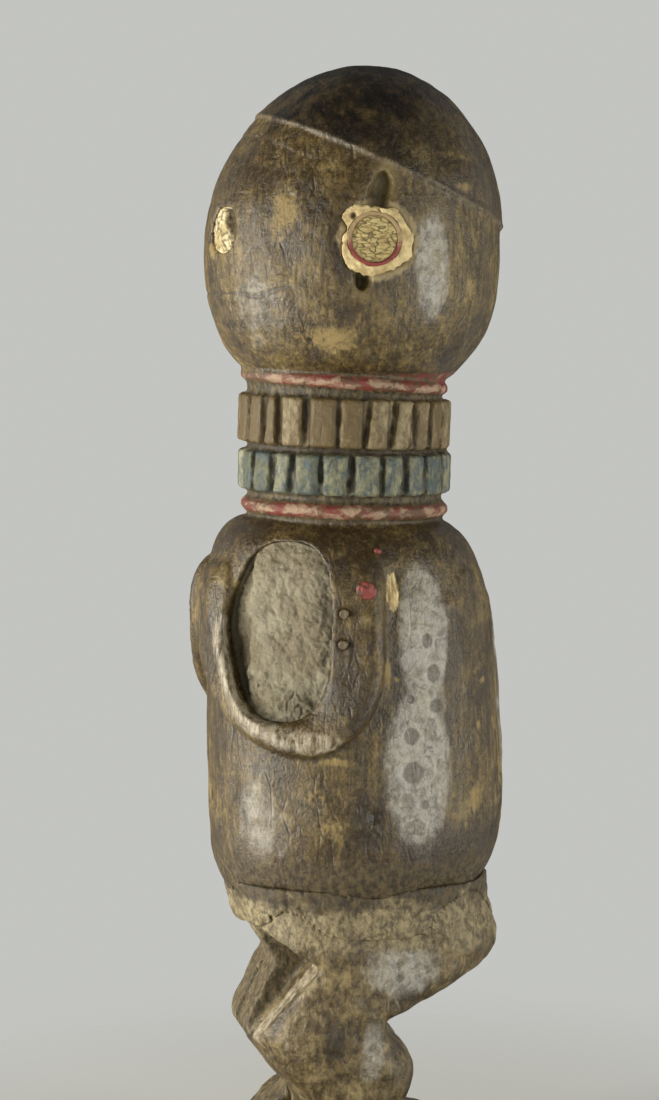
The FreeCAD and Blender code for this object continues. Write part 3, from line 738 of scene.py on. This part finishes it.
def wood_material():
    m = Shader("patinated_wood")
    grain = m.noise(1.1, 5, 0.62, (1, 1, 0.09), 0.3)
    streak = m.noise(4.0, 4, 0.6, (1, 1, 0.12), 0.5, 3.0)
    blotch = m.noise(15, 5, 0.62, (1, 1, 0.75), 0.6, 7.0)
    mottle = m.noise(4.5, 6, 0.66, (1, 1, 0.8), 0.4, 11.0)
    sand = m.noise(1.3, 5, 0.72, (1, 1, 0.65), 0.3, 13.0)
    fine = m.noise(0.7, 4, 0.7, None, 0.0, 19.0)
    scratches = m.noise(1.6, 3, 0.7, (0.16, 0.16, 1.7), 1.2, 17.0)
    edge = m.attribute("edge")
    wide = m.attribute("wide_edge")
    relief = m.attribute("relief")

    # patina: from nearly black through umber to a worn brown, grainy all over
    depth = m.times_plus(blotch, 0.6, m.times_plus(mottle, 0.3, m.times(streak, 0.1)))
    nearly_black, umber = (0.015, 0.009, 0.003), (0.040, 0.025, 0.007)
    brown, worn_brown = (0.083, 0.056, 0.017), (0.170, 0.126, 0.045)
    base = m.ramp(depth, [(0.34, nearly_black), (0.45, umber), (0.55, brown), (0.68, worn_brown)])
    base = m.mix(1.0, base, m.ramp(sand, [(0.34, 0.58), (0.66, 1.45)]), "MULTIPLY")
    base = m.mix(1.0, base, m.ramp(fine, [(0.34, 0.70), (0.66, 1.30)]), "MULTIPLY")
    base = m.mix(1.0, base, m.ramp(grain, [(0.34, 0.55), (0.66, 1.35)]), "MULTIPLY")

    # fine cracks, in places only, mostly along the grain
    places = m.rise(m.noise(11, 3, 0.6, None, 0.4, 61.0), 0.46, 0.60)
    crackle = m.ramp(m.cell_borders(3.6, (1.0, 1.0, 0.32)), [(0.0, 1.0), (0.10, 0.0)])
    crackle = m.times(m.times(crackle, places), m.ramp(sand, [(0.40, 0.2), (0.60, 1.0)]))
    base = m.mix(m.times(crackle, 0.7), base, (0.010, 0.006, 0.003))

    # dark smears, and darker bands just under the collar, high on the head and round the lower torso
    dark = m.times(m.attribute("dark"), m.ramp(mottle, [(0.38, 1.0), (0.62, 0.3)]))
    base = m.mix(dark, base, (0.026, 0.015, 0.006))

    # ochre wood where the patina is gone: ragged patches, crumbs of it everywhere, and proud edges
    uneven = m.times_plus(sand, 0.9, m.times_plus(mottle, 1.3, -1.28))
    ragged = m.math("ADD", m.attribute("bare"), uneven)
    bare = m.rise(ragged, 0.34, 0.70)
    crumb = m.times(m.noise(1.5, 6, 0.78, (1, 1, 0.6), 0.5, 23.0), 0.8)
    crumbs = m.rise(m.times_plus(blotch, 0.5, crumb), 0.70, 0.80)
    proud = m.rise(m.times_plus(wide, 0.5, m.times(mottle, 0.6)), 0.55, 0.95)
    ochre = m.mix(sand, (0.105, 0.066, 0.019), (0.34, 0.25, 0.095))
    worn = m.most(m.times(bare, 0.85), m.times(crumbs, 0.5), m.times(proud, 0.5))
    base = m.mix(worn, base, ochre)

    # the cap is blacker, with a pale fibrous lip
    cap_tone = m.mix(m.rise(mottle, 0.44, 0.66), (0.007, 0.005, 0.003), (0.048, 0.032, 0.013))
    base = m.mix(m.times(m.attribute("cap"), m.ramp(blotch, [(0.40, 1.0), (0.66, 0.55)])), base, cap_tone)
    hairline = m.times(m.attribute("hairline"), m.ramp(sand, [(0.38, 0.1), (0.62, 1.0)]))
    base = m.mix(m.times(hairline, 0.45), base, (0.17, 0.135, 0.085))

    # dirt in the hollows, polish on the ridges
    pit = m.rise(m.times(relief, -1.0), 0.02, 0.14)
    unpasted = m.math("SUBTRACT", 1.0, m.attribute("pasted"), clamp=True)
    base = m.mix(m.times(pit, m.times(unpasted, 0.7)), base, (0.016, 0.011, 0.006))
    corner = m.rise(m.times(m.math("SUBTRACT", m.attribute("pasted"), 1.0), edge), 0.05, 0.35)
    base = m.mix(m.times(corner, 0.8), base, (0.030, 0.020, 0.009))
    rub = m.rise(m.times_plus(edge, 1.0, m.times(sand, 0.3)), 0.34, 0.56)
    base = m.mix(m.times(rub, 0.55), base, m.mix(sand, (0.16, 0.12, 0.07), (0.42, 0.37, 0.28)))

    # painted sheen: pale colour for the broad highlight on the hand-polished wood, broken by scales and dark
    # blisters
    scales = m.ramp(m.cell_borders(2.6, (1, 1, 0.7)), [(0.02, 0.45), (0.20, 1.0)])
    broken = m.rise(m.noise(2.2, 6, 0.76, (0.8, 0.8, 0.8), 0.7, 31.0), 0.40, 0.56)
    uneven = m.times_plus(mottle, 1.1, m.times_plus(streak, 0.6, m.attribute("painted_sheen")))
    sheen_mask = m.rise(uneven, 1.15, 1.75)
    painted_sheen = m.times(sheen_mask, m.times_plus(broken, 0.48, 0.30))
    base = m.mix(m.times(painted_sheen, 0.78), base, m.mix(sand, (0.18, 0.165, 0.13), (0.64, 0.62, 0.56)))
    ring = m.attribute("spot_rims")
    base = m.mix(m.times(ring, 0.55), base, (0.42, 0.41, 0.36))
    spots = m.rise(m.times_plus(fine, 0.4, m.attribute("spots")), 0.50, 0.85)
    base = m.mix(m.times(spots, 0.7), base, m.mix(sand, (0.030, 0.024, 0.016), (0.110, 0.095, 0.070)))
    # painted shade in the mouth crease
    base = m.mix(m.times(m.attribute("mouth"), 0.4), base, (0.03, 0.02, 0.012))

    # legs carry a drier skin; the cut between the thighs is darkened, unpolished wood with painted shade,
    # and its lip is painted pale as a highlight
    dry = m.mix(m.rise(mottle, 0.38, 0.64), (0.046, 0.031, 0.012), (0.205, 0.158, 0.078))
    dry = m.mix(1.0, dry, m.ramp(sand, [(0.34, 0.5), (0.66, 1.5)]), "MULTIPLY")
    outside_sheen = m.times(m.math("SUBTRACT", 1.0, sheen_mask), m.ramp(blotch, [(0.40, 0.3), (0.60, 0.8)]))
    base = m.mix(m.times(m.attribute("legs"), outside_sheen), base, dry)
    cut = m.mix(m.rise(sand, 0.4, 0.7), (0.045, 0.033, 0.014), (0.175, 0.130, 0.065))
    base = m.mix(m.attribute("groin"), base, cut)
    # painted highlight: pale fibrous colour along the lip of the cut and the arm's bevel
    uneven = m.times_plus(sand, 0.8, m.times_plus(mottle, 0.6, m.attribute("lip")))
    lip = m.rise(uneven, 0.95, 1.45)
    fibres = m.rise(m.noise(1.6, 4, 0.7, (1.2, 1.2, 0.12), 0.3, 51.0), 0.36, 0.6)
    base = m.mix(m.times(lip, 0.8), base, m.mix(fibres, (0.085, 0.060, 0.030), (0.40, 0.35, 0.255)))

    # putty smeared round the ears, paste round the waist, ochre in the ear scoops
    uneven = m.times_plus(sand, 0.6, m.times_plus(mottle, 0.6, m.attribute("smear")))
    smear = m.rise(uneven, 0.95, 1.25)
    base = m.mix(m.times(smear, 0.6), base, m.mix(sand, (0.22, 0.165, 0.08), (0.46, 0.37, 0.20)))
    paste = m.rise(m.times_plus(mottle, 1.2, m.attribute("pasted")), 0.95, 1.45)
    base = m.mix(m.times(paste, 0.9), base, paste_colour(m)[0])
    scooped = m.mix(sand, (0.055, 0.038, 0.012), (0.27, 0.205, 0.085))
    base = m.mix(m.times(m.attribute("scoop"), 0.9), base, scooped)

    # fresh split wood
    uneven = m.times_plus(m.noise(1.5, 4, 0.7, (1.3, 1.3, 0.3), 0.5, 47.0), 1.6, m.attribute("chip"))
    split = m.rise(uneven, 1.35, 1.6)
    fresh = m.mix(m.rise(grain, 0.36, 0.62), (0.20, 0.13, 0.042), (0.70, 0.56, 0.28))
    base = m.mix(split, base, fresh)

    # collar paint
    tone = m.attribute("tone")
    chipped = m.noise(2.0, 6, 0.74, (1, 1, 0.5), 0.6, 37.0)
    wear = m.rise(m.times_plus(tone, 0.34, m.times(chipped, 0.9)), 0.50, 0.80)
    tan_paint = m.mix(sand, (0.030, 0.019, 0.006), (0.150, 0.100, 0.035))
    tan = m.mix(wear, tan_paint, m.mix(sand, (0.15, 0.115, 0.052), (0.36, 0.30, 0.17)))
    blue_paint = m.mix(m.rise(chipped, 0.40, 0.56), (0.042, 0.062, 0.068), (0.078, 0.078, 0.040))
    blue_paint = m.mix(1.0, blue_paint, m.ramp(sand, [(0.34, 0.6), (0.66, 1.4)]), "MULTIPLY")
    blue = m.mix(wear, blue_paint, m.mix(sand, (0.135, 0.130, 0.078), (0.33, 0.32, 0.21)))
    red_paint = m.mix(m.rise(mottle, 0.42, 0.58), (0.135, 0.026, 0.018), (0.085, 0.046, 0.022))
    pale_wood = m.mix(sand, (0.13, 0.078, 0.044), (0.42, 0.30, 0.20))
    crest = m.noise(5, 5, 0.66, (1, 1, 1.6), 0.5, 41.0)
    ridge_wear = m.ramp(m.times_plus(edge, 0.35, crest), [(0.52, 0.0), (0.65, 0.9)])
    red = m.mix(ridge_wear, red_paint, pale_wood)
    groove = m.mix(m.rise(sand, 0.38, 0.66), (0.018, 0.012, 0.005), (0.105, 0.078, 0.034))
    base = m.mix(m.attribute("collar"), base, groove)
    base = m.mix(m.attribute("tan_tabs"), base, tan)
    base = m.mix(m.attribute("blue_tabs"), base, blue)
    red_left = m.rise(m.times_plus(chipped, 0.9, m.attribute("red_ridges")), 0.85, 1.35)
    base = m.mix(red_left, base, red)
    # painted shade in the notches and round the tabs
    base = m.mix(m.times(m.attribute("notches"), 0.7), base, (0.022, 0.015, 0.007))

    # gloss: hand polish, dull where bare, split, pasted or painted, and duller towards the outline
    dull = m.most(worn, m.attribute("collar"), split, paste, m.attribute("groin"), smear)
    gloss = m.ramp(m.times_plus(sand, 0.6, m.times(blotch, 0.4)), [(0.32, 0.18), (0.68, 0.36)])
    roughness = m.mix(m.times(dull, 0.7), gloss, (0.68, 0.68, 0.68))
    facing_away = m.tree.nodes.new("ShaderNodeLayerWeight").outputs["Facing"]
    roughness = m.mix(m.rise(facing_away, 0.45, 0.90), roughness, (0.80, 0.80, 0.80))

    normal = m.bump(m.times_plus(grain, 0.5, m.times(streak, 0.5)), 0.25, 0.6)
    normal = m.bump(mottle, 0.6, 0.55, normal)
    normal = m.bump(sand, 0.42, 0.85, normal)
    normal = m.bump(fine, 0.18, 0.8, normal)
    normal = m.bump(m.times(crackle, -1.0), 0.16, 0.9, normal)
    normal = m.bump(scratches, 0.13, 0.7, normal)
    normal = m.bump(m.times(sheen_mask, scales), 0.08, 0.5, normal)
    return m.finish(base, roughness, normal, 0.40)


# ---------------------------------------------------------------- inlays, clay, wax and crust


def detail(name, node, voxel, slot, material, shape, smooth=2):
    """A finely meshed stand-in for a small CAD node, relaxed smooth times and aged by the shape function."""
    piece = fine_copy(name, node, voxel)
    s = Surface(piece)
    s.relax(smooth, 0.5)
    shape(s)
    piece.data.materials.append(material)
    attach(piece, "root")
    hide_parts(node)


def outward(surface):
    """1 where a small inlay's surface faces out of the figure, 0 on its sides and back."""
    middle = surface.points.mean(axis=0)
    out = np.array([middle[0], middle[1], 0.0])
    out /= np.linalg.norm(out)
    return step(surface.normals @ out, 0.55, 0.85)


def shape_eye(s):
    face = outward(s)
    middle = s.points.mean(axis=0)
    away = np.linalg.norm(s.points - middle, axis=1)
    fibres = s.clouds(1.3, 3, 21, (1.6, 1.6, 0.5))
    cracks = 1 - step(s.cell_edges(2.4, 3, (1, 1, 0.8), 0.5), 0.0, 0.16)
    side = np.sign(middle[0])
    rear = (s.points[:, 0] - middle[0]) * side + 0.6 * (s.points[:, 2] - middle[2])
    heights = 0.5 * (1 - step(away, 2.5, 6.8)) - 0.25 - 1.1 * step(rear, 2.6, 3.6) * face
    s.push(face * (heights + fibres * 0.45 - cracks * 0.4))
    cracks = np.maximum(cracks, 1.2 * step(rear, 2.9, 3.5))
    s.store("cracks", cracks * face)
    s.store("rim", face * step(away, 5.0, 6.8))


def shape_putty(s):
    face = outward(s)
    middle = s.points.mean(axis=0)
    heights = s.clouds(4, 3, 31) * 0.4 + s.clouds(1.3, 4, 32) * 0.26
    pit = np.exp(-(((s.points[:, 1] + 6.0) / 0.8) ** 2 + ((s.points[:, 2] - 247.0) / 0.8) ** 2) ** 2)
    split = bell(s.points[:, 1] - 0.5 * np.sin(s.points[:, 2]), 0.2, 0.25) * step(s.points[:, 2], 245.5, 247)
    nick = np.exp(-(((s.points[:, 1] + 6.5) / 1.2) ** 2 + ((s.points[:, 2] - 243.6) / 0.7) ** 2))
    heights += -pit * 0.9 - split * 0.5 - nick * 0.5
    ragged = s.clouds(3.2, 3, 33) * 0.75 + s.clouds(1.2, 2, 34) * 0.3
    s.push(face * heights + (1 - face) * ragged)
    s.store("cracks", face * np.clip(pit + split * 0.8 + nick * 0.4, 0, 1))


def shape_disc(s):
    face = outward(s)
    wrinkles = s.clouds(1.1, 3, 41, (1, 0.7, 1.6))
    cracks = 1 - step(s.cell_edges(1.5, 5, (1, 0.6, 1.5), 0.7), 0.0, 0.2)
    s.push(face * (wrinkles * 0.22 - cracks * 0.22 + 0.05))
    s.store("cracks", cracks * face)


def shape_wax(s):
    face = outward(s)
    s.push(face * (s.clouds(2.2, 2, 51) * 0.25 - 0.10 + 0.15 * (1 - step(s.points[:, 2], 236.5, 240))))
    s.store("left", 1 - step(s.points[:, 2] + 2.0 * s.clouds(3, 2, 53), 237.5, 243))


def shape_clay(s):
    face = outward(s)
    some = step(s.clouds(8, 2, 65), -0.25, 0.15)
    cracks = (1 - step(s.cell_edges(5.5, 7, (1, 1, 0.8), 1.1), 0.0, 0.05)) * some
    small = 1 - step(s.cell_edges(2.6, 9, (1, 1, 1), 0.6), 0.0, 0.10)
    low = 1 - step(s.points[:, 2], 130, 142)
    heights = s.clouds(9, 4, 61) * 0.7 + s.clouds(2.4, 3, 62) * 0.5 + s.clouds(0.9, 2, 63) * 0.12
    turn = np.abs(s.angle())
    rear = step(turn, 56, 64)
    depth = np.clip(cracks * (0.2 + 0.8 * np.maximum(low, 0.5 * rear)) + small * low * 0.4, 0, 1)
    trough = 1 - step(turn + s.clouds(6, 2, 64) * 2.5, 31, 36)
    s.push(face * (heights - 0.5 * depth - 0.15 - 1.3 * trough))
    s.store("cracks", depth * face)
    s.store("shade", trough)
    # painted light: the upper clay is made lighter, as if lit from above
    s.store("high", step(s.points[:, 2] + 6 * s.clouds(8, 2, 66), 132, 152))


def shape_crust(s):
    z = s.points[:, 2]
    radial = s.points * np.array([1, 1, 0])
    radial /= np.linalg.norm(radial, axis=1)[:, None]
    face = step(np.einsum("ij,ij->i", s.normals, radial), 0.0, 0.5)
    some = step(s.clouds(12, 2, 73), 0.0, 0.3)
    cracks = (1 - step(s.cell_edges(4.8, 11, (1, 1, 1), 1.0), 0.0, 0.07)) * some
    lumps = s.clouds(6, 4, 71) * 0.6 + s.clouds(1.8, 3, 72) * 0.4
    front = patches(s, [(3, 74.5, 5.0, 3.0, 1.0)], 3.0, 30.0)
    top = step(z, 79.5, 86)
    rear = step(np.abs(s.angle()), 125, 150)
    s.points[:, 2] += 1.8 * top
    s.push(face * (lumps * 0.55 - cracks * 0.35 + 0.3 + top * (0.3 - 1.4 * rear)) + front * 1.0)
    s.relax(2, 0.5)
    s.store("cracks", cracks)
    s.store("paste", paste_amount(s.points[:, 2]))


def shape_dab(s):
    large = s.points[:, 2] < 162  # the two dabs lie at different heights
    away = np.zeros(len(s.points))
    for dab in (large, ~large):
        gap = np.linalg.norm(s.points[dab] - s.points[dab].mean(axis=0), axis=1)
        away[dab] = gap / gap.max()
    s.push(s.clouds(1.4, 3, 91) * 0.3 - 0.15)
    s.store("left", 1.3 - 1.35 * away**2 + 1.0 * s.clouds(1.6, 3, 93))


def shape_plain(s):
    s.push(s.clouds(1.5, 2, 81) * 0.3 - 0.1)


def putty_material(name, pale, warm, dirt, size):
    """Putty in three tones, with its grain set by size in millimetres."""
    m = Shader(name)
    soft = m.noise(size * 2.5, 4, 0.6, None, 0.3, 2.0)
    fine = m.noise(size * 0.4, 5, 0.7, None, 0.0, 5.0)
    base = m.mix(m.rise(soft, 0.35, 0.65), warm, pale)
    base = m.mix(m.ramp(fine, [(0.60, 0.0), (0.76, 0.8)]), base, dirt)
    base = m.mix(m.times(m.attribute("cracks"), 0.8), base, (0.05, 0.035, 0.016))
    normal = m.bump(fine, 0.16, 0.8)
    normal = m.bump(soft, 0.3, 0.6, normal)
    return m.finish(base, m.ramp(fine, [(0.3, 0.66), (0.7, 0.85)]), normal, 0.3)


def wax_material(name, under):
    """Red wax that has left the colour under it bare in places."""
    m = Shader(name)
    soft = m.noise(1.6, 4, 0.6, None, 0.4, 3.0)
    base = m.mix(soft, (0.10, 0.013, 0.011), (0.25, 0.052, 0.040))
    gone = m.times_plus(m.noise(1.3, 5, 0.75), 1.8, m.attribute("left"))
    base = m.mix(m.ramp(gone, [(1.05, 0.92), (1.6, 0.0)]), base, under)
    return m.finish(base, m.ramp(soft, [(0.3, 0.42), (0.7, 0.6)]), m.bump(soft, 0.2, 0.7), 0.4)


def clay_material():
    m = Shader("dry_clay")
    soft = m.noise(7, 5, 0.6, None, 0.4, 1.0)
    fine = m.noise(0.7, 5, 0.72, None, 0.0, 4.0)
    stain = m.rise(m.noise(12, 4, 0.6, None, 0.5, 6.0), 0.42, 0.66)
    base = m.mix(m.rise(soft, 0.32, 0.66), (0.105, 0.088, 0.050), (0.220, 0.196, 0.130))
    base = m.mix(m.times(stain, 0.9), base, (0.105, 0.078, 0.036))
    # painted light: the upper clay lighter
    base = m.mix(m.times(m.attribute("high"), 0.22), base, (0.29, 0.26, 0.185))
    base = m.mix(m.ramp(fine, [(0.54, 0.0), (0.72, 0.8)]), base, (0.34, 0.31, 0.225))
    base = m.mix(m.times(m.attribute("shade"), 0.75), base, (0.060, 0.045, 0.018))
    base = m.mix(m.times(m.attribute("cracks"), 0.75), base, (0.045, 0.033, 0.017))
    normal = m.bump(m.noise(2.0, 5, 0.7, None, 0.6, 9.0), 0.9, 0.9)
    normal = m.bump(fine, 0.2, 0.8, normal)
    return m.finish(base, m.ramp(fine, [(0.3, 0.45), (0.7, 0.7)]), normal, 0.45)


def crust_material():
    m = Shader("resin_crust")
    base, sand = paste_colour(m)
    base = m.mix(m.times(m.attribute("cracks"), 0.7), base, (0.022, 0.016, 0.008))
    normal = m.bump(m.noise(2.2, 5, 0.7, None, 0.6, 9.0), 0.5, 0.8)
    normal = m.bump(sand, 0.34, 0.8, normal)
    return m.finish(base, m.ramp(sand, [(0.3, 0.45), (0.7, 0.75)]), normal, 0.4)


def peg_material():
    m = Shader("pale_peg")
    grain = m.noise(0.6, 4, 0.6, None, 0.2, 2.0)
    base = m.mix(grain, (0.045, 0.033, 0.017), (0.17, 0.135, 0.078))
    return m.finish(base, 0.6, m.bump(grain, 0.12, 0.8), 0.4)


def add_inlays():
    eye = putty_material("eye_putty", (0.58, 0.50, 0.31), (0.31, 0.24, 0.115), (0.14, 0.105, 0.05), 1.2)
    putty = putty_material("ear_putty", (0.60, 0.475, 0.25), (0.31, 0.23, 0.10), (0.15, 0.11, 0.05), 1.6)
    disc = putty_material("ear_disc", (0.46, 0.37, 0.17), (0.33, 0.25, 0.10), (0.19, 0.14, 0.055), 0.8)
    wax, clay = wax_material("red_wax", (0.30, 0.22, 0.11)), clay_material()
    for side in ("left", "right"):
        detail(side + "_eye", side + "_eye_plug", 0.22, "eye_putty", eye, shape_eye)
        detail(side + "_putty", side + "_ear_putty", 0.22, "ear_putty", putty, shape_putty)
        detail(side + "_disc", side + "_ear_disc", 0.16, "ear_disc", disc, shape_disc)
        detail(side + "_ring", side + "_ear_wax_ring", 0.16, "red_wax", wax, shape_wax)
        detail(side + "_clay", side + "_arm_clay", 0.32, "grey_clay", clay, shape_clay)
    detail("pegs", "left_arm_pegs", 0.2, "pale_wood", peg_material(), shape_plain, 3)
    smear = wax_material("red_wax_smear", (0.045, 0.028, 0.012))
    detail("wax_dabs", "left_arm_wax_dabs", 0.16, "red_wax", smear, shape_dab, 1)
    detail("crust", "waist_crust", 0.4, "resin_crust", crust_material(), shape_crust, 10)


bpy.context.scene.view_settings.view_transform = "Standard"
add_camera()
add_world()
add_softbox("softbox_front", 8, 0.95, 0.10, 0.62, 0.80, 13.3, (1.0, 0.955, 0.85))
add_softbox("softbox_back", 140, 0.95, 0.10, 0.52, 0.80, 6.3, (1.0, 0.965, 0.87))
add_softbox("softbox_fill", 262, 1.1, 0.14, 0.8, 0.8, 0.8, (1.0, 0.975, 0.93))
add_floor()
carve_wood()
add_inlays()
